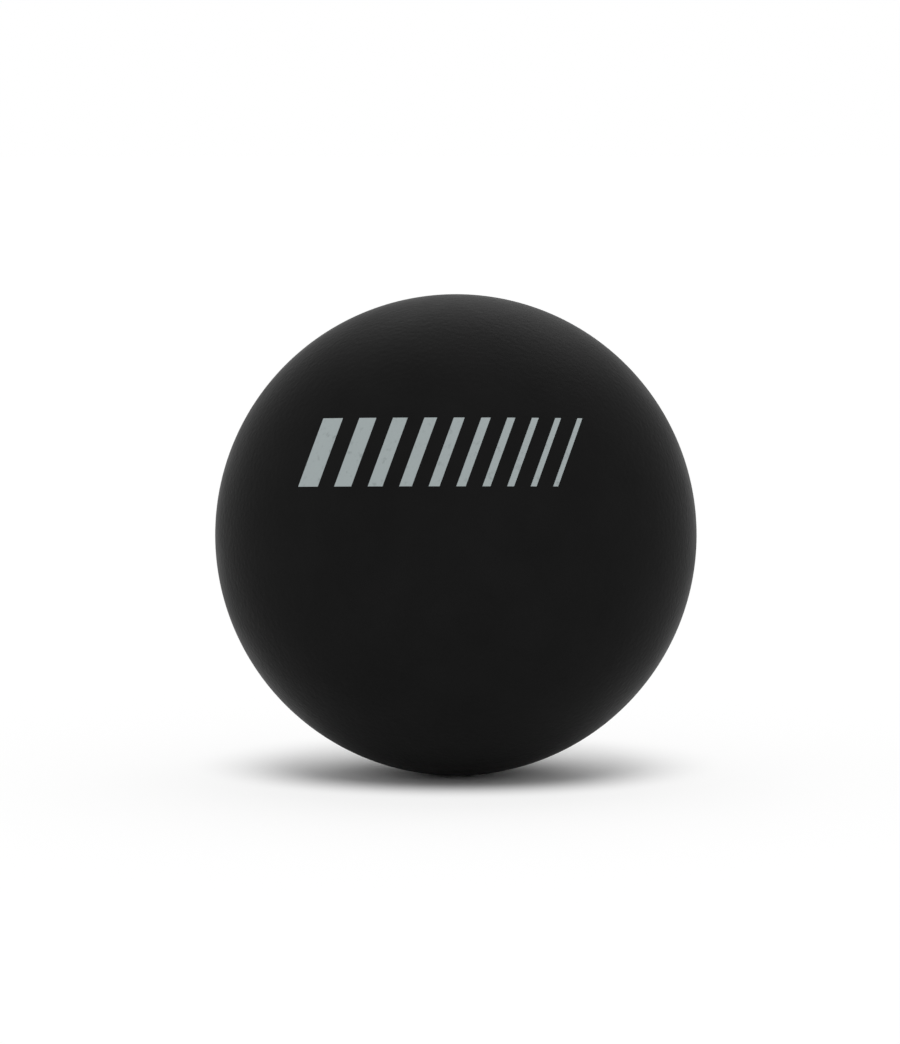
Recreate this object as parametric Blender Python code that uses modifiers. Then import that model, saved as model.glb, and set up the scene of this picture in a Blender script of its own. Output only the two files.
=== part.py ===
"""Hockey ball: a cork core bound with twine, inside a moulded rubber cover that is made as two half shells.

Metres, +Z up, origin at the centre of the ball. The half shells meet on the plane y = 0. The front one, on
the -Y side, has a tongue round its rim, and the tongue fills a groove in the rim of the rear one.
"""

import math

import bpy
import numpy as np

# Driving dimensions
GIRTH = 0.230  # circumference of the finished ball
COVER_WALL = 0.0080  # rubber, from the outside to the hollow that holds the core
CEMENT_FILM = 0.0003  # rubber cement between any two pieces, which leaves the parting line of the cover
TONGUE_REACH = 0.0025  # how far the tongue stands past the middle plane
TONGUE_ROOT = 0.0026  # its thickness where it leaves the rim
TONGUE_TIP = 0.0018  # its thickness at the far end
TWINE_DIAMETER = 0.0029
TWINE_SPACING = 0.0006  # gap between neighbouring turns of the twine
TWINE_END = 0.0026  # how far from the pole of the winding each end of the twine is cemented down

# Fineness of the facets
COVER_SEGMENTS = 56  # round the cover's axis
COVER_RING_ANGLE = math.radians(6.5)  # between rings, from the pole to the rim
CORE_SEGMENTS = 40
CORE_RINGS = 20
TWINE_STEP = 0.0052  # between points along the twine
TWINE_TURN_STEP = math.radians(30)  # most that one step turns, near the poles

# Sizes that follow from these
BALL_RADIUS = GIRTH / (2 * math.pi)
HOLLOW_RADIUS = BALL_RADIUS - COVER_WALL
RIM_HEIGHT = CEMENT_FILM / 2  # from the middle plane to each rim
TONGUE_RADIUS = BALL_RADIUS - COVER_WALL / 2  # the tongue runs along the middle of the wall
CORE_RADIUS = HOLLOW_RADIUS - TWINE_DIAMETER - 2 * CEMENT_FILM
TWINE_PATH_RADIUS = CORE_RADIUS + CEMENT_FILM + TWINE_DIAMETER / 2

SHARP_ANGLE = math.radians(30)  # edges of the rims stay sharp, the round walls are smooth


def clear_scene():
    for obj in list(bpy.data.objects):
        bpy.data.objects.remove(obj)


def make_material(name, colour, roughness):
    material = bpy.data.materials.new(name)
    material.use_nodes = True
    shader = material.node_tree.nodes["Principled BSDF"]
    shader.inputs["Base Color"].default_value = (*colour, 1.0)
    shader.inputs["Roughness"].default_value = roughness
    shader.inputs["Metallic"].default_value = 0.0
    return material


def add_piece(name, data, material, collection, centre):
    """Puts one piece of the ball in its collection, carried by the empty at the ball's centre."""
    piece = bpy.data.objects.new(name, data)
    data.materials.clear()
    data.materials.append(material)
    collection.objects.link(piece)
    piece.parent = centre
    return piece


def arc_points(radius, start, end):
    """Points (x, z) on an arc round the ball's centre. The angles are measured from the pole at +Z."""
    steps = math.ceil(abs(end - start) / COVER_RING_ANGLE)
    angles = [start + (end - start) * step / steps for step in range(steps + 1)]
    return [(radius * math.sin(angle), radius * math.cos(angle)) for angle in angles]


def half_shell_profile(joint_points):
    """Half section of a half shell with its pole at +Z: outside, rim with the joint, then the hollow."""
    outside = arc_points(BALL_RADIUS, 0.0, math.acos(RIM_HEIGHT / BALL_RADIUS))
    hollow = arc_points(HOLLOW_RADIUS, math.acos(RIM_HEIGHT / HOLLOW_RADIUS), 0.0)
    return outside + joint_points + hollow


def tongue_points():
    """The tongue in section. It stands out of the rim, past the middle plane, and tapers to its tip."""
    root = TONGUE_ROOT / 2
    tip = TONGUE_TIP / 2
    return [
        (TONGUE_RADIUS + root, RIM_HEIGHT),
        (TONGUE_RADIUS + tip, -TONGUE_REACH),
        (TONGUE_RADIUS - tip, -TONGUE_REACH),
        (TONGUE_RADIUS - root, RIM_HEIGHT),
    ]


def groove_points():
    """The groove in section: the tongue's outline with a film of cement all round it."""
    mouth = TONGUE_ROOT / 2 + CEMENT_FILM
    floor = TONGUE_TIP / 2 + CEMENT_FILM
    depth = TONGUE_REACH + CEMENT_FILM
    return [
        (TONGUE_RADIUS + mouth, RIM_HEIGHT),
        (TONGUE_RADIUS + floor, depth),
        (TONGUE_RADIUS - floor, depth),
        (TONGUE_RADIUS - mouth, RIM_HEIGHT),
    ]


def turned_mesh(name, profile):
    """Mesh of a profile (x, z) turned round the Z axis by a Screw modifier."""
    outline = bpy.data.meshes.new(name)
    points = [(x, 0.0, z) for x, z in profile]
    edges = [(index, index + 1) for index in range(len(points) - 1)]
    outline.from_pydata(points, edges, [])
    guide = bpy.data.objects.new(name + "_outline", outline)
    bpy.context.scene.collection.objects.link(guide)
    screw = guide.modifiers.new("turn", "SCREW")
    screw.axis = "Z"
    screw.angle = 2 * math.pi
    screw.steps = COVER_SEGMENTS
    screw.render_steps = COVER_SEGMENTS
    screw.use_merge_vertices = True
    screw.merge_threshold = 1e-5
    graph = bpy.context.evaluated_depsgraph_get()
    mesh = bpy.data.meshes.new_from_object(guide.evaluated_get(graph))
    mesh.name = name
    bpy.data.objects.remove(guide)
    bpy.data.meshes.remove(outline)
    mesh.shade_smooth()
    mesh.set_sharp_from_angle(angle=SHARP_ANGLE)
    return mesh


def make_front_cover(rubber, collection, centre):
    mesh = turned_mesh("front_cover", half_shell_profile(tongue_points()))
    cover = add_piece("front_cover", mesh, rubber, collection, centre)
    cover.rotation_euler.x = math.pi / 2  # its pole turns from +Z to -Y
    return cover


def make_rear_cover(rubber, collection, centre):
    mesh = turned_mesh("rear_cover", half_shell_profile(groove_points()))
    cover = add_piece("rear_cover", mesh, rubber, collection, centre)
    cover.rotation_euler.x = -math.pi / 2  # its pole turns from +Z to +Y
    return cover


def make_cork_core(cork, collection, centre):
    bpy.ops.mesh.primitive_uv_sphere_add(
        segments=CORE_SEGMENTS, ring_count=CORE_RINGS, radius=CORE_RADIUS
    )
    ball = bpy.context.object
    mesh = ball.data
    bpy.data.objects.remove(ball)
    mesh.name = "cork_core"
    mesh.shade_smooth()
    return add_piece("cork_core", mesh, cork, collection, centre)


def twine_points():
    """One spiral over the core, from pole to pole, at a steady pitch."""
    start = TWINE_END / TWINE_PATH_RADIUS
    pitch = (TWINE_DIAMETER + TWINE_SPACING) / TWINE_PATH_RADIUS
    turns = (math.pi - 2 * start) / pitch
    last_angle = 2 * math.pi * turns
    points = []
    angle = 0.0
    while True:
        polar = start + pitch * angle / (2 * math.pi)
        turn_radius = TWINE_PATH_RADIUS * math.sin(polar)
        height = TWINE_PATH_RADIUS * math.cos(polar)
        points.append((turn_radius * math.cos(angle), turn_radius * math.sin(angle), height))
        if angle >= last_angle:
            return points, turns
        angle = min(last_angle, angle + min(TWINE_TURN_STEP, TWINE_STEP / turn_radius))


def least_gap(points):
    """Narrowest gap between the twine and its own other turns, measured between its points."""
    line = np.array(points)
    along = np.concatenate([[0.0], np.cumsum(np.linalg.norm(np.diff(line, axis=0), axis=1))])
    apart = np.linalg.norm(line[:, None] - line[None], axis=2)
    other_turns = np.abs(along[:, None] - along[None]) > 2 * TWINE_DIAMETER
    return apart[other_turns].min() - TWINE_DIAMETER


def make_twine_winding(cotton, collection, centre):
    points, turns = twine_points()
    curve = bpy.data.curves.new("twine_winding", "CURVE")
    curve.dimensions = "3D"
    curve.bevel_depth = TWINE_DIAMETER / 2
    curve.bevel_resolution = 1
    curve.use_fill_caps = True
    spline = curve.splines.new("POLY")
    spline.points.add(len(points) - 1)
    for spline_point, point in zip(spline.points, points):
        spline_point.co = (*point, 1.0)
    print(f"twine_winding: {turns:.1f} turns, least gap to itself {least_gap(points) * 1000:.2f} mm")
    return add_piece("twine_winding", curve, cotton, collection, centre)


def make_ball():
    collection = bpy.data.collections.new("hockey_ball")
    bpy.context.scene.collection.children.link(collection)
    centre = bpy.data.objects.new("ball_centre", None)
    centre.empty_display_size = BALL_RADIUS / 2
    collection.objects.link(centre)

    rubber = make_material("black_rubber", (0.008, 0.008, 0.008), 0.55)
    cotton = make_material("cotton_twine", (0.60, 0.52, 0.38), 0.90)
    cork = make_material("moulded_cork", (0.36, 0.20, 0.09), 0.85)

    make_cork_core(cork, collection, centre)
    make_twine_winding(cotton, collection, centre)
    make_front_cover(rubber, collection, centre)
    make_rear_cover(rubber, collection, centre)


clear_scene()
make_ball()
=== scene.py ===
import math

import bmesh
import bpy
from mathutils import Matrix, Vector


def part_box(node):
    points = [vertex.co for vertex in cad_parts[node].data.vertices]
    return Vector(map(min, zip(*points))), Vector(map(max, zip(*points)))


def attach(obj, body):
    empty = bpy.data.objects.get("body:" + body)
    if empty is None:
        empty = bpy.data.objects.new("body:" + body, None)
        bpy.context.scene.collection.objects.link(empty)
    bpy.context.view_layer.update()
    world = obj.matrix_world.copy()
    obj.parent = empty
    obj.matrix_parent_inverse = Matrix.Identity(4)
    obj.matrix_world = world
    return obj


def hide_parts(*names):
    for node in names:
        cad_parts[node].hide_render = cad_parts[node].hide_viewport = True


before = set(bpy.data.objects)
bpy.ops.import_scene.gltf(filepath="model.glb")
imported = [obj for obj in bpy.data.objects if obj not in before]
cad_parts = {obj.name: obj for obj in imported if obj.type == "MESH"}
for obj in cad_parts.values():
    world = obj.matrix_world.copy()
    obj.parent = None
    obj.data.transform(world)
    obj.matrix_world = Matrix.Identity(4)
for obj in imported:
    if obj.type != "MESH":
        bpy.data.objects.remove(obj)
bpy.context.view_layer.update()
scene = bpy.context.scene
mmPerMetre = 1000

# sizes that the frame gives
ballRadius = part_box("rear_cover")[1].x
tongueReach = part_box("front_cover")[1].y
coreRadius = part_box("cork_core")[1].z
cementFilm = 2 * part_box("rear_cover")[0].y  # the rims stand half a film off the middle plane
print(f"frame loaded, ball {2 * ballRadius * mmPerMetre:.1f} mm across")


# helpers for objects and nodes

def newPiece(name, data, material, replaced=None):
    piece = bpy.data.objects.new(name, data)
    data.materials.clear()
    data.materials.append(material)
    scene.collection.objects.link(piece)
    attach(piece, "root")
    if replaced:
        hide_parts(replaced)


def meshFromBmesh(name, mesh):
    data = bpy.data.meshes.new(name)
    mesh.to_mesh(data)
    mesh.free()
    return data


def meshFromGuide(name, guideMesh, addModifier):
    # a guide object takes the modifier, and its evaluated mesh is kept
    guide = bpy.data.objects.new(name + "Guide", guideMesh)
    scene.collection.objects.link(guide)
    addModifier(guide)
    graph = bpy.context.evaluated_depsgraph_get()
    mesh = bpy.data.meshes.new_from_object(guide.evaluated_get(graph))
    mesh.name = name
    bpy.data.objects.remove(guide)
    bpy.data.meshes.remove(guideMesh)
    return mesh


def addNode(tree, kind, x, y, **settings):
    node = tree.nodes.new(kind)
    node.location = (x, y)
    for key, value in settings.items():
        setattr(node, key, value)
    return node


def setInputs(node, values):
    for key, value in values.items():
        node.inputs[key].default_value = value


def newMaterial(name):
    material = bpy.data.materials.new(name)
    material.use_nodes = True
    tree = material.node_tree
    shader = tree.nodes["Principled BSDF"]
    shader.location = (700, 0)
    tree.nodes["Material Output"].location = (1000, 0)
    return material, tree, shader


def objectPlace(tree):
    return addNode(tree, "ShaderNodeTexCoord", -1100, 0).outputs["Object"]


def useGroup(tree, group, vector, x, y, values):
    node = addNode(tree, "ShaderNodeGroup", x, y, node_tree=group)
    setInputs(node, values)
    tree.links.new(vector, node.inputs["Vector"])
    return node


def colourRamp(tree, factor, x, y, stops):
    ramp = addNode(tree, "ShaderNodeValToRGB", x, y)
    elements = ramp.color_ramp.elements
    while len(elements) < len(stops):
        elements.new(1.0)
    for element, (position, colour) in zip(elements, stops):
        element.position = position
        element.color = (*colour, 1)
    tree.links.new(factor, ramp.inputs["Fac"])
    return ramp.outputs["Color"]


def spread(tree, value, x, y, low, high):
    # a value from 0 to 1 becomes one from low to high
    node = addNode(tree, "ShaderNodeMapRange", x, y)
    setInputs(node, {"To Min": low, "To Max": high})
    tree.links.new(value, node.inputs["Value"])
    return node.outputs["Result"]


def addBump(tree, height, x, y, depth):
    bump = addNode(tree, "ShaderNodeBump", x, y)
    bump.inputs["Distance"].default_value = depth
    tree.links.new(height, bump.inputs["Height"])
    return bump.outputs["Normal"]


# shared effects, as node groups

effects = {
    "cloudDetail": 5.0,
    "cloudRoughness": 0.6,
    "cloudMiddle": 0.5,  # the level that contrast leaves as it is
    "bumpSoftness": 0.8,
    "bumpShare": 0.6,  # height of the bumps, where that of the tooth is 1
    "toothDetail": 3.0,
    "toothRoughness": 0.55,
}


def newGroup(name, inputs, outputs):
    group = bpy.data.node_groups.new(name, "ShaderNodeTree")
    group.interface.new_socket("Vector", in_out="INPUT", socket_type="NodeSocketVector")
    for label in inputs:
        group.interface.new_socket(label, in_out="INPUT", socket_type="NodeSocketFloat")
    for label in outputs:
        group.interface.new_socket(label, in_out="OUTPUT", socket_type="NodeSocketFloat")
    start = addNode(group, "NodeGroupInput", -600, 0)
    end = addNode(group, "NodeGroupOutput", 600, 0)
    return group, start, end


def mottleGroup(look):
    # cloudy blotches, 0 to 1
    group, start, end = newGroup("mottle", ["Scale", "Contrast"], ["Mask"])
    cloud = addNode(group, "ShaderNodeTexNoise", -350, 0)
    setInputs(cloud, {"Detail": look["cloudDetail"], "Roughness": look["cloudRoughness"]})
    centred = addNode(group, "ShaderNodeMath", -100, 0, operation="SUBTRACT")
    centred.inputs[1].default_value = look["cloudMiddle"]
    stretched = addNode(group, "ShaderNodeMath", 150, 0, operation="MULTIPLY_ADD", use_clamp=True)
    stretched.inputs[2].default_value = look["cloudMiddle"]
    group.links.new(start.outputs["Vector"], cloud.inputs["Vector"])
    group.links.new(start.outputs["Scale"], cloud.inputs["Scale"])
    group.links.new(cloud.outputs["Fac"], centred.inputs[0])
    group.links.new(centred.outputs[0], stretched.inputs[0])
    group.links.new(start.outputs["Contrast"], stretched.inputs[1])
    group.links.new(stretched.outputs[0], end.inputs["Mask"])
    return group


def grainGroup(look):
    # fine eggshell of a moulded skin: small soft bumps with a finer tooth between them
    group, start, end = newGroup("mouldedGrain", ["Scale"], ["Height"])
    bumps = addNode(group, "ShaderNodeTexVoronoi", -350, 150, feature="SMOOTH_F1")
    bumps.inputs["Smoothness"].default_value = look["bumpSoftness"]
    tooth = addNode(group, "ShaderNodeTexNoise", -350, -150)
    setInputs(tooth, {"Detail": look["toothDetail"], "Roughness": look["toothRoughness"]})
    mixed = addNode(group, "ShaderNodeMath", 100, 0, operation="MULTIPLY_ADD")
    mixed.inputs[1].default_value = look["bumpShare"]
    for texture in (bumps, tooth):
        group.links.new(start.outputs["Vector"], texture.inputs["Vector"])
        group.links.new(start.outputs["Scale"], texture.inputs["Scale"])
    group.links.new(bumps.outputs["Distance"], mixed.inputs[0])
    group.links.new(tooth.outputs["Fac"], mixed.inputs[2])
    group.links.new(mixed.outputs[0], end.inputs["Height"])
    return group


mottle = mottleGroup(effects)
mouldedGrain = grainGroup(effects)
print("shared effects ready")


# cover: two half shells of very matte black rubber

cover = {
    "wall": 0.0080,  # this and the tongue's thickness are the solid's
    "tongueRoot": 0.0026,
    "tongueTip": 0.0018,
    "rimLand": 0.00032,  # the rings of the ball end this far from the middle plane
    "edgeRound": 0.00008,  # of the rims, whose fine groove is all that shows of the joint
    "jointRound": 0.0004,
    "cornerSteps": 4,
    "ringAngle": math.radians(1.0),
    "hollowRingAngle": math.radians(4.0),
    "steps": 256,  # round the ball
    "weld": 0.000001,  # points that are closer than this become one
    "creaseAngle": math.radians(40),
    "dark": (0.0088, 0.0088, 0.0088),
    "light": (0.0108, 0.0108, 0.0108),
    "blotchScale": 110.0,  # per metre
    "blotchContrast": 2.2,
    "roughness": (0.36, 0.44),
    "ior": 1.070,  # so low that the skin hardly shines, except near its outline
    "specularLevel": 0.49,  # off its default, so that the export keeps both values
    "grainScale": 1300.0,  # bumps per metre
    "grainDepth": 0.000042,
    "seamBand": 0.0007,  # half width of the buffed strip along the parting line
    "seamRoughness": 0.12,  # how much duller that strip is
}


def rubberMaterial(look):
    material, tree, shader = newMaterial("blackRubber")
    place = objectPlace(tree)
    blotches = {"Scale": look["blotchScale"], "Contrast": look["blotchContrast"]}
    mask = useGroup(tree, mottle, place, -800, 250, blotches).outputs["Mask"]
    colour = colourRamp(tree, mask, -300, 300, [(0.0, look["dark"]), (1.0, look["light"])])
    rough = spread(tree, mask, -300, 50, *look["roughness"])

    # the strip where the flash was buffed off is a little duller
    split = addNode(tree, "ShaderNodeSeparateXYZ", -800, -50)
    off = addNode(tree, "ShaderNodeMath", -600, -50, operation="ABSOLUTE")
    strip = addNode(tree, "ShaderNodeMapRange", -400, -150, interpolation_type="SMOOTHSTEP")
    setInputs(strip, {"From Max": look["seamBand"], "To Min": look["seamRoughness"], "To Max": 0.0})
    duller = addNode(tree, "ShaderNodeMath", 0, 0, operation="ADD")
    tree.links.new(place, split.inputs[0])
    tree.links.new(split.outputs["Y"], off.inputs[0])
    tree.links.new(off.outputs[0], strip.inputs["Value"])
    tree.links.new(rough, duller.inputs[0])
    tree.links.new(strip.outputs["Result"], duller.inputs[1])

    grain = useGroup(tree, mouldedGrain, place, -800, -400, {"Scale": look["grainScale"]})
    normal = addBump(tree, grain.outputs["Height"], 200, -400, look["grainDepth"])
    setInputs(shader, {"IOR": look["ior"], "Specular IOR Level": look["specularLevel"]})
    tree.links.new(colour, shader.inputs["Base Color"])
    tree.links.new(duller.outputs[0], shader.inputs["Roughness"])
    tree.links.new(normal, shader.inputs["Normal"])
    return material


def arcPoints(radius, start, end, stepAngle):
    # angles from the pole, points as (radius, height)
    steps = math.ceil(abs(end - start) / stepAngle)
    angles = [start + (end - start) * i / steps for i in range(steps + 1)]
    return [Vector((radius * math.sin(a), radius * math.cos(a))) for a in angles]


def roundCorners(points, cuts, steps):
    # each inner corner becomes a short curve that starts and ends its cut away
    rounded = [points[0]]
    for before, corner, after, cut in zip(points, points[1:], points[2:], cuts):
        start = corner + (before - corner).normalized() * cut
        end = corner + (after - corner).normalized() * cut
        for i in range(steps + 1):
            t = i / steps
            rounded.append(start * (1 - t) ** 2 + corner * 2 * t * (1 - t) + end * t * t)
    return rounded + [points[-1]]


def halfShellProfile(dims, hasTongue):
    # the rims meet on the middle plane
    hollow = ballRadius - dims["wall"]
    middle = ballRadius - dims["wall"] / 2
    outerEnd = math.acos(dims["rimLand"] / ballRadius)
    innerEnd = math.acos(dims["rimLand"] / hollow)
    outside = arcPoints(ballRadius, 0, outerEnd, dims["ringAngle"])
    inside = arcPoints(hollow, innerEnd, 0, dims["hollowRingAngle"])
    room = 0 if hasTongue else cementFilm
    root = dims["tongueRoot"] / 2 + room
    tip = dims["tongueTip"] / 2 + room
    reach = -tongueReach if hasTongue else tongueReach + room
    corners = [
        (ballRadius, 0),
        (middle + root, 0),
        (middle + tip, reach),
        (middle - tip, reach),
        (middle - root, 0),
        (hollow, 0),
    ]
    edge = dims["edgeRound"]
    joint = dims["jointRound"]
    cuts = [edge, joint, joint, joint, joint, edge]
    line = [outside[-1], *map(Vector, corners), inside[0]]
    return outside[:-1] + roundCorners(line, cuts, dims["cornerSteps"]) + inside[1:]


def turnedMesh(name, profile, dims):
    outline = bpy.data.meshes.new(name + "Outline")
    points = [(x, 0, z) for x, z in profile]
    edges = [(i, i + 1) for i in range(len(points) - 1)]
    outline.from_pydata(points, edges, [])

    def addTurn(guide):
        screw = guide.modifiers.new("turn", "SCREW")
        screw.steps = dims["steps"]
        screw.render_steps = dims["steps"]
        screw.use_merge_vertices = True
        screw.merge_threshold = dims["weld"]

    return meshFromGuide(name, outline, addTurn)


def halfShell(name, dims, hasTongue, material, node):
    mesh = turnedMesh(name, halfShellProfile(dims, hasTongue), dims)
    towards = 1 if hasTongue else -1  # the half with the tongue faces -Y
    mesh.transform(Matrix.Rotation(towards * math.pi / 2, 4, "X"))
    mesh.shade_smooth()
    mesh.set_sharp_from_angle(angle=dims["creaseAngle"])
    newPiece(name, mesh, material, node)


blackRubber = rubberMaterial(cover)
halfShell("front_half_shell", cover, True, blackRubber, "front_cover")
halfShell("rear_half_shell", cover, False, blackRubber, "rear_cover")
print("cover made")


# printed mark: a plain row of slanted bars that thin out to the right, as a thin film of ink

mark = {
    "tilt": math.radians(5.0),  # the mark was pressed on from this far above level
    "rise": 0.01215,  # of its middle, seen from there
    "offset": -0.0023,  # of its middle, to the left
    "width": 0.0420,
    "height": 0.0101,
    "slant": math.radians(20),
    "bars": 10,
    "widest": 0.0030,
    "narrowest": 0.0008,
    "film": 0.00004,
    "root": 0.00003,  # how far the film is keyed into the rubber
    "bevel": 0.00007,
    "step": 0.0005,  # between points
    "worn": (0.235, 0.270, 0.272),
    "full": (0.345, 0.392, 0.395),
    "fullFrom": 0.35,  # level of the patches from which the ink is whole
    "patchScale": 900.0,  # per metre
    "patchContrast": 2.0,
    "roughness": (0.50, 0.62),
    "grainScale": 1300.0,  # the rubber's grain shows through
    "grainDepth": 0.00004,
}


def inkMaterial(look):
    material, tree, shader = newMaterial("printInk")
    place = objectPlace(tree)
    patches = {"Scale": look["patchScale"], "Contrast": look["patchContrast"]}
    mask = useGroup(tree, mottle, place, -800, 250, patches).outputs["Mask"]
    stops = [(0.0, look["worn"]), (look["fullFrom"], look["full"])]
    tree.links.new(colourRamp(tree, mask, -300, 300, stops), shader.inputs["Base Color"])
    tree.links.new(spread(tree, mask, -300, 0, *look["roughness"]), shader.inputs["Roughness"])
    grain = useGroup(tree, mouldedGrain, place, -800, -300, {"Scale": look["grainScale"]})
    normal = addBump(tree, grain.outputs["Height"], 200, -300, look["grainDepth"])
    tree.links.new(normal, shader.inputs["Normal"])
    return material


def onBall(dims, across, up, lift):
    # flat artwork pressed straight onto the ball
    x = dims["offset"] + across
    z = dims["rise"] + up
    depth = math.sqrt(ballRadius ** 2 - x ** 2 - z ** 2)
    spot = Matrix.Rotation(-dims["tilt"], 3, "X") @ Vector((x, -depth, z))
    return spot * (1 + lift / ballRadius)


def addBar(mesh, dims, middle, width):
    # rings of points go up the bar, from its level lower end
    half = width / 2
    top = half - dims["bevel"]
    columns = math.ceil(2 * top / dims["step"])
    rows = math.ceil(dims["height"] / dims["step"])
    section = [(-top + 2 * top * i / columns, dims["film"]) for i in range(columns + 1)]
    section = [(-half, -dims["root"]), *section, (half, -dims["root"])]
    rings = []
    for j in range(rows + 1):
        up = dims["height"] * (j / rows - 0.5)
        leaning = middle + up * math.tan(dims["slant"])
        rings.append([mesh.verts.new(onBall(dims, leaning + off, up, lift)) for off, lift in section])
    for ring, following in zip(rings, rings[1:]):
        for i in range(len(section)):
            mesh.faces.new((ring[i - 1], ring[i], following[i], following[i - 1]))
    mesh.faces.new(rings[0])
    mesh.faces.new(rings[-1][::-1])


def printedMark(dims, material):
    gaps = dims["bars"] - 1
    ratio = (dims["narrowest"] / dims["widest"]) ** (1 / gaps)
    widths = [dims["widest"] * ratio ** i for i in range(dims["bars"])]
    room = dims["width"] - dims["height"] * math.tan(dims["slant"])
    gap = (room - sum(widths)) / gaps
    mesh = bmesh.new()
    left = -room / 2
    for width in widths:
        addBar(mesh, dims, left + width / 2, width)
        left += width + gap
    bmesh.ops.recalc_face_normals(mesh, faces=mesh.faces)
    newPiece("printed_mark", meshFromBmesh("printed_mark", mesh), material)


printedMark(mark, inkMaterial(mark))
print("printed mark made")


# twine: three plies laid together, along the same spiral as the solid

twine = {
    "diameter": 0.0029,  # this, the spacing and the end are the solid's
    "spacing": 0.0006,  # between neighbouring turns
    "end": 0.0026,  # distance of each end from the pole of the winding
    "plies": 3,
    "plySides": 8,
    "lay": 0.0080,  # length of one twist
    "step": 0.00065,  # between points
    "creaseAngle": math.radians(60),
    "shade": (0.30, 0.225, 0.130),
    "light": (0.64, 0.55, 0.40),
    "fibreScale": 5200.0,  # per metre, across the ply
    "fibreStretch": 0.09,  # fibres are drawn out along the ply by the inverse of this
    "fibreContrast": 2.6,
    "fibreDepth": 0.00007,
    "roughness": (0.82, 0.95),
}


def twineMaterial(look):
    material, tree, shader = newMaterial("cottonTwine")
    along = addNode(tree, "ShaderNodeAttribute", -1100, 250, attribute_name="fibreLay")
    fibres = {"Scale": look["fibreScale"], "Contrast": look["fibreContrast"]}
    mask = useGroup(tree, mottle, along.outputs["Vector"], -800, 200, fibres).outputs["Mask"]
    stops = [(0.0, look["shade"]), (1.0, look["light"])]
    tree.links.new(colourRamp(tree, mask, -300, 300, stops), shader.inputs["Base Color"])
    tree.links.new(spread(tree, mask, -300, 0, *look["roughness"]), shader.inputs["Roughness"])
    tree.links.new(addBump(tree, mask, 200, -300, look["fibreDepth"]), shader.inputs["Normal"])
    return material


def twineRoute(dims):
    radius = coreRadius + cementFilm + dims["diameter"] / 2
    start = dims["end"] / radius
    pitch = (dims["diameter"] + dims["spacing"]) / radius
    lastTurn = 2 * math.pi * (math.pi - 2 * start) / pitch
    turn = 0.0
    while turn < lastTurn:
        polar = start + pitch * turn / (2 * math.pi)
        level = radius * math.sin(polar)
        yield Vector((level * math.cos(turn), level * math.sin(turn), radius * math.cos(polar)))
        turn += dims["step"] / level


def localAxes(line, i):
    # out from the ball's middle and to the side, both square to the line
    ahead = (line[min(i + 1, len(line) - 1)] - line[max(i - 1, 0)]).normalized()
    side = ahead.cross(line[i]).normalized()
    return side.cross(ahead), side


def addPly(mesh, line, radius, dims):
    # each point also keeps its place along and round the ply, which the fibres follow
    fibreLay = mesh.verts.layers.float_vector["fibreLay"]
    sides = dims["plySides"]
    rings = []
    for i, point in enumerate(line):
        out, side = localAxes(line, i)
        travelled = i * dims["step"]
        ring = []
        for k in range(sides):
            angle = 2 * math.pi * k / sides
            vert = mesh.verts.new(point + radius * (math.cos(angle) * out + math.sin(angle) * side))
            swirl = angle + 2 * math.pi * travelled / dims["lay"]  # fibres turn against the plies
            x = radius * math.cos(swirl)
            y = radius * math.sin(swirl)
            vert[fibreLay] = (x, y, travelled * dims["fibreStretch"])
            ring.append(vert)
        rings.append(ring)
    for ring, following in zip(rings, rings[1:]):
        for k in range(sides):
            mesh.faces.new((ring[k], ring[k - 1], following[k - 1], following[k]))
    mesh.faces.new(rings[0])
    mesh.faces.new(rings[-1][::-1])


def woundTwine(dims, material):
    route = list(twineRoute(dims))
    half = math.pi / dims["plies"]
    swing = dims["diameter"] / 2 / (1 + math.sin(half))  # of the plies' centres, so that the plies touch
    mesh = bmesh.new()
    mesh.verts.layers.float_vector.new("fibreLay")
    for ply in range(dims["plies"]):
        line = []
        for i, point in enumerate(route):
            out, side = localAxes(route, i)
            twist = 2 * math.pi * (i * dims["step"] / dims["lay"] + ply / dims["plies"])
            line.append(point + swing * (math.cos(twist) * out + math.sin(twist) * side))
        addPly(mesh, line, swing * math.sin(half), dims)
    bmesh.ops.recalc_face_normals(mesh, faces=mesh.faces)
    data = meshFromBmesh("wound_twine", mesh)
    data.shade_smooth()
    data.set_sharp_from_angle(angle=dims["creaseAngle"])
    newPiece("wound_twine", data, material, "twine_winding")


woundTwine(twine, twineMaterial(twine))
print("twine wound")


# cork: granules pressed into a ball

cork = {
    "subdivisions": 7,
    "granuleScale": 440.0,  # granules per metre
    "wobble": 0.0012,  # how far their outlines are bent
    "wobbleScale": 700.0,  # per metre
    "wobbleDetail": 3.0,
    "dentWidth": 0.00036,  # of the dents between granules, from their middle
    "dentDepth": 0.00020,
    "unevenness": 0.00012,  # how much single granules sit lower
    "jointWidth": 0.00016,  # of the dark line in the dents
    "joint": (0.085, 0.042, 0.019),
    "browns": [(0.0, (0.13, 0.065, 0.028)), (0.35, (0.31, 0.17, 0.078)), (1.0, (0.52, 0.34, 0.18))],
    "speckScale": 1800.0,  # per metre
    "speckContrast": 1.6,
    "speckDepth": 0.0001,
    "roughness": (0.78, 0.94),
}


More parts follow.
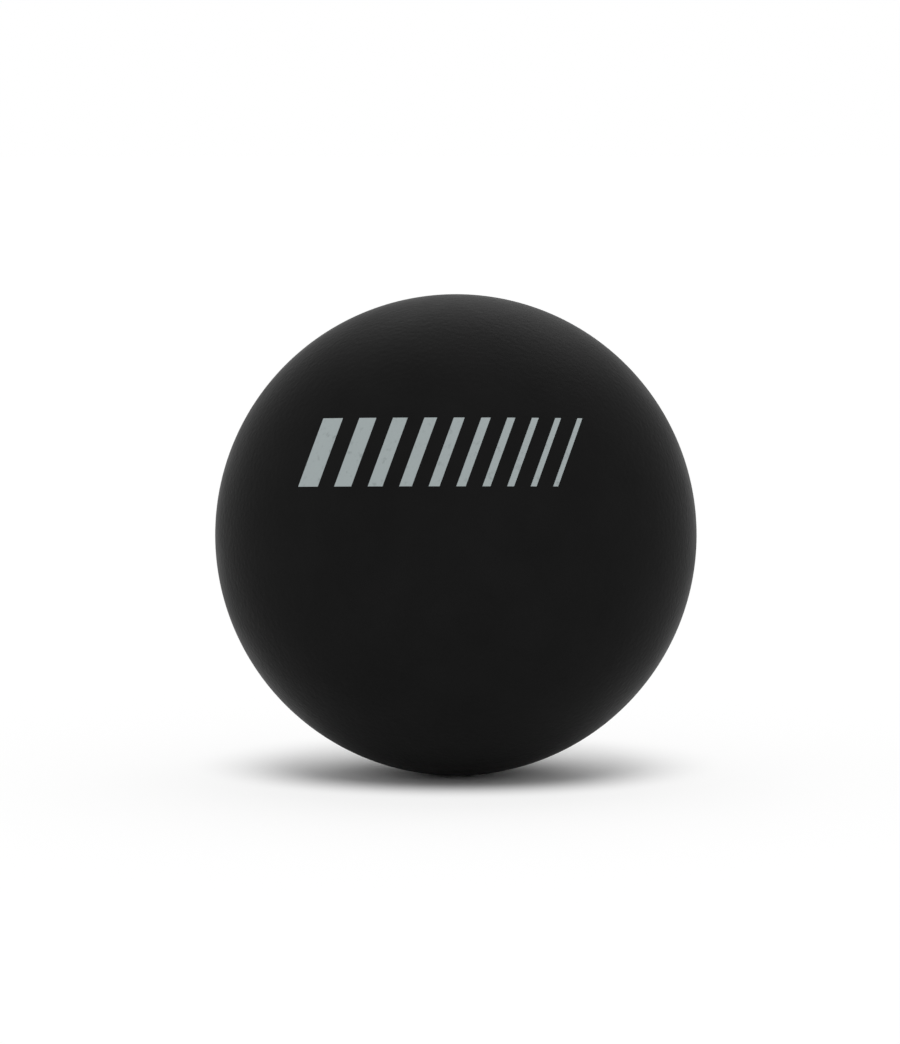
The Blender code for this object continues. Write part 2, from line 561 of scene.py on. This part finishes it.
def granuleNodes(tree, look, width, place, x, y):
    # a number for each granule, and how far inside it a point is: 0 in the joint, 1 from this width on
    noise = addNode(tree, "ShaderNodeTexNoise", x - 400, y - 150)
    setInputs(noise, {"Scale": look["wobbleScale"], "Detail": look["wobbleDetail"]})
    bent = addNode(tree, "ShaderNodeVectorMath", x - 200, y - 150, operation="MULTIPLY_ADD")
    bent.inputs[1].default_value = (look["wobble"], look["wobble"], look["wobble"])
    tree.links.new(place, noise.inputs["Vector"])
    tree.links.new(noise.outputs["Color"], bent.inputs[0])
    tree.links.new(place, bent.inputs[2])
    granules = addNode(tree, "ShaderNodeTexVoronoi", x, y)
    edges = addNode(tree, "ShaderNodeTexVoronoi", x, y - 300, feature="DISTANCE_TO_EDGE")
    number = addNode(tree, "ShaderNodeSeparateXYZ", x + 200, y)
    inside = addNode(tree, "ShaderNodeMapRange", x + 200, y - 300, interpolation_type="SMOOTHSTEP")
    inside.inputs["From Max"].default_value = width * look["granuleScale"]
    for texture in (granules, edges):
        texture.inputs["Scale"].default_value = look["granuleScale"]
        tree.links.new(bent.outputs[0], texture.inputs["Vector"])
    tree.links.new(granules.outputs["Color"], number.inputs[0])
    tree.links.new(edges.outputs["Distance"], inside.inputs["Value"])
    return number.outputs["X"], inside.outputs["Result"]


def corkMaterial(look):
    material, tree, shader = newMaterial("mouldedCork")
    place = objectPlace(tree)
    number, inside = granuleNodes(tree, look, look["jointWidth"], place, -700, 500)
    specks = {"Scale": look["speckScale"], "Contrast": look["speckContrast"]}
    mask = useGroup(tree, mottle, place, -900, -150, specks).outputs["Mask"]
    shade = addNode(tree, "ShaderNodeMath", -450, 300, operation="MULTIPLY")
    tree.links.new(number, shade.inputs[0])
    tree.links.new(mask, shade.inputs[1])
    darker = addNode(tree, "ShaderNodeMix", 250, 300, data_type="RGBA")
    fromJoint, toGranule = [socket for socket in darker.inputs if socket.type == "RGBA"]
    fromJoint.default_value = (*look["joint"], 1)
    tree.links.new(inside, darker.inputs["Factor"])
    tree.links.new(colourRamp(tree, shade.outputs[0], -200, 300, look["browns"]), toGranule)
    colour = next(socket for socket in darker.outputs if socket.type == "RGBA")
    tree.links.new(colour, shader.inputs["Base Color"])
    tree.links.new(spread(tree, mask, -200, 0, *look["roughness"]), shader.inputs["Roughness"])
    tree.links.new(addBump(tree, mask, 200, -300, look["speckDepth"]), shader.inputs["Normal"])
    return material


def granuleRelief(dims):
    # geometry nodes read the same granules as the material, so the dents follow its joints
    tree = bpy.data.node_groups.new("granuleRelief", "GeometryNodeTree")
    for way in ("INPUT", "OUTPUT"):
        tree.interface.new_socket("Geometry", in_out=way, socket_type="NodeSocketGeometry")
    start = addNode(tree, "NodeGroupInput", 100, 300)
    end = addNode(tree, "NodeGroupOutput", 800, 300)
    place = addNode(tree, "GeometryNodeInputPosition", -1100, 0)
    number, inside = granuleNodes(tree, dims, dims["dentWidth"], place.outputs[0], -500, 0)
    dent = spread(tree, inside, -100, -300, -dims["dentDepth"], 0.0)
    lower = addNode(tree, "ShaderNodeMath", 0, 0, operation="MULTIPLY_ADD")
    lower.inputs[1].default_value = -dims["unevenness"]
    normal = addNode(tree, "GeometryNodeInputNormal", 0, -300)
    shift = addNode(tree, "ShaderNodeVectorMath", 250, 0, operation="SCALE")
    moved = addNode(tree, "GeometryNodeSetPosition", 500, 300)
    tree.links.new(number, lower.inputs[0])
    tree.links.new(dent, lower.inputs[2])
    tree.links.new(normal.outputs[0], shift.inputs[0])
    tree.links.new(lower.outputs[0], shift.inputs["Scale"])
    tree.links.new(start.outputs[0], moved.inputs["Geometry"])
    tree.links.new(shift.outputs[0], moved.inputs["Offset"])
    tree.links.new(moved.outputs[0], end.inputs[0])
    return tree


def corkBall(dims, material):
    sphere = bmesh.new()
    bmesh.ops.create_icosphere(sphere, subdivisions=dims["subdivisions"], radius=coreRadius)

    def addRelief(guide):
        guide.modifiers.new("granules", "NODES").node_group = granuleRelief(dims)

    data = meshFromGuide("cork_ball", meshFromBmesh("corkSphere", sphere), addRelief)
    data.shade_smooth()
    newPiece("cork_ball", data, material, "cork_core")


corkBall(cork, corkMaterial(cork))
print("cork ball made")


# floor, light and camera

stage = {
    "floorSize": 8.0,
    "floorColour": (0.97, 0.97, 0.97, 1),
    "floorWhite": 0.8,  # painted light: how far the floor that is seen glows plain white, which fades its shadow
    "spotBack": 0.35,  # middle of the spot that keeps its whole shadow, behind the ball, in ball radii
    "spotInner": 0.65,  # distance from there at which the floor starts to fade, in ball radii
    "spotOuter": 1.15,  # and at which it has faded
    "white": (1, 1, 1, 1),
    "whiteLevel": 1.0,  # at which a plain surface is seen as white
    "skyLevel": 0.80,  # even light from all round
    "lampLevel": 1.0,  # broad light from overhead
    "lampWidth": math.radians(60),
    "lampBack": math.radians(32),  # leans this far behind the ball
    "lampRight": math.radians(6),
}

photo = {
    "size": (900, 1044),  # pixels, as are the next two
    "ballCentre": (455.9, 534.9),
    "ballRadius": 240.8,
    "elevation": math.radians(5.0),
    "distance": 0.9,  # metres, from the ball's middle
    "sensor": 24.0,  # mm
}


def plainRays(tree, x, y):
    # 1 for rays from the camera, reflections and clear things, 0 for rays that light the ball
    rays = addNode(tree, "ShaderNodeLightPath", x, y)
    seen = addNode(tree, "ShaderNodeMath", x + 200, y, operation="MAXIMUM")
    plain = addNode(tree, "ShaderNodeMath", x + 400, y, operation="MAXIMUM")
    tree.links.new(rays.outputs["Is Camera Ray"], seen.inputs[0])
    tree.links.new(rays.outputs["Is Glossy Ray"], seen.inputs[1])
    tree.links.new(seen.outputs[0], plain.inputs[0])
    tree.links.new(rays.outputs["Is Transmission Ray"], plain.inputs[1])
    return plain.outputs[0]


def floorMaterial(look):
    # pale and matte; away from the spot under the ball it glows plain white to the camera and
    # reflections, painted light that fades the ball's shadow there
    material, tree, shader = newMaterial("paleFloor")
    setInputs(shader, {"Base Color": look["floorColour"], "Roughness": 1.0, "Specular IOR Level": 0.0})
    away = addNode(tree, "ShaderNodeVectorMath", -800, 300, operation="DISTANCE")
    away.inputs[1].default_value = (0, look["spotBack"] * ballRadius, 0)
    fade = addNode(tree, "ShaderNodeMapRange", -500, 300, interpolation_type="SMOOTHSTEP")
    inner = look["spotInner"] * ballRadius
    outer = look["spotOuter"] * ballRadius
    setInputs(fade, {"From Min": inner, "From Max": outer, "To Max": look["floorWhite"]})
    share = addNode(tree, "ShaderNodeMath", 700, 300, operation="MULTIPLY")
    white = addNode(tree, "ShaderNodeEmission", 700, -400)
    setInputs(white, {"Color": look["white"], "Strength": look["whiteLevel"]})
    # the white glow mixed in here is painted light that hides the shadow beyond the spot
    mixed = addNode(tree, "ShaderNodeMixShader", 1000, 200)
    tree.links.new(objectPlace(tree), away.inputs[0])
    tree.links.new(away.outputs["Value"], fade.inputs["Value"])
    tree.links.new(fade.outputs["Result"], share.inputs[0])
    tree.links.new(plainRays(tree, -100, 500), share.inputs[1])
    tree.links.new(share.outputs[0], mixed.inputs["Fac"])
    tree.links.new(shader.outputs[0], mixed.inputs[1])
    tree.links.new(white.outputs[0], mixed.inputs[2])
    tree.links.new(mixed.outputs[0], tree.nodes["Material Output"].inputs["Surface"])
    return material


def paleFloor(look):
    bpy.ops.mesh.primitive_plane_add(size=look["floorSize"], location=(0, 0, -ballRadius))
    floor = bpy.context.object
    floor.name = "floor"
    floor.data.materials.append(floorMaterial(look))


def softLight(look):
    # the camera and reflections see a plain white surround, and the ball is lit by a dimmer one
    world = bpy.data.worlds.new("studio")
    scene.world = world
    world.use_nodes = True
    tree = world.node_tree
    around = tree.nodes["Background"]
    around.inputs["Color"].default_value = look["white"]
    level = spread(tree, plainRays(tree, -800, 0), -200, 0, look["skyLevel"], look["whiteLevel"])
    tree.links.new(level, around.inputs["Strength"])

    lamp = bpy.data.lights.new("overhead", "SUN")
    lamp.energy = look["lampLevel"]
    lamp.angle = look["lampWidth"]
    holder = bpy.data.objects.new("overhead", lamp)
    holder.rotation_euler = (-look["lampBack"], look["lampRight"], 0)
    scene.collection.objects.link(holder)


def photoCamera(view):
    data = bpy.data.cameras.new("photoView")
    camera = bpy.data.objects.new("photoView", data)
    scene.collection.objects.link(camera)
    width, height = view["size"]
    rise = view["elevation"]
    camera.location = (0, -view["distance"] * math.cos(rise), view["distance"] * math.sin(rise))
    camera.rotation_euler = (math.pi / 2 - rise, 0, 0)
    data.sensor_fit = "VERTICAL"
    data.sensor_height = view["sensor"]
    halfAngle = math.asin(ballRadius / view["distance"])
    data.lens = view["sensor"] * view["ballRadius"] / height / math.tan(halfAngle)
    data.shift_x = (width / 2 - view["ballCentre"][0]) / height
    data.shift_y = (view["ballCentre"][1] - height / 2) / height
    scene.camera = camera


paleFloor(stage)
softLight(stage)
photoCamera(photo)
scene.view_settings.view_transform = "Standard"
print("stage set")
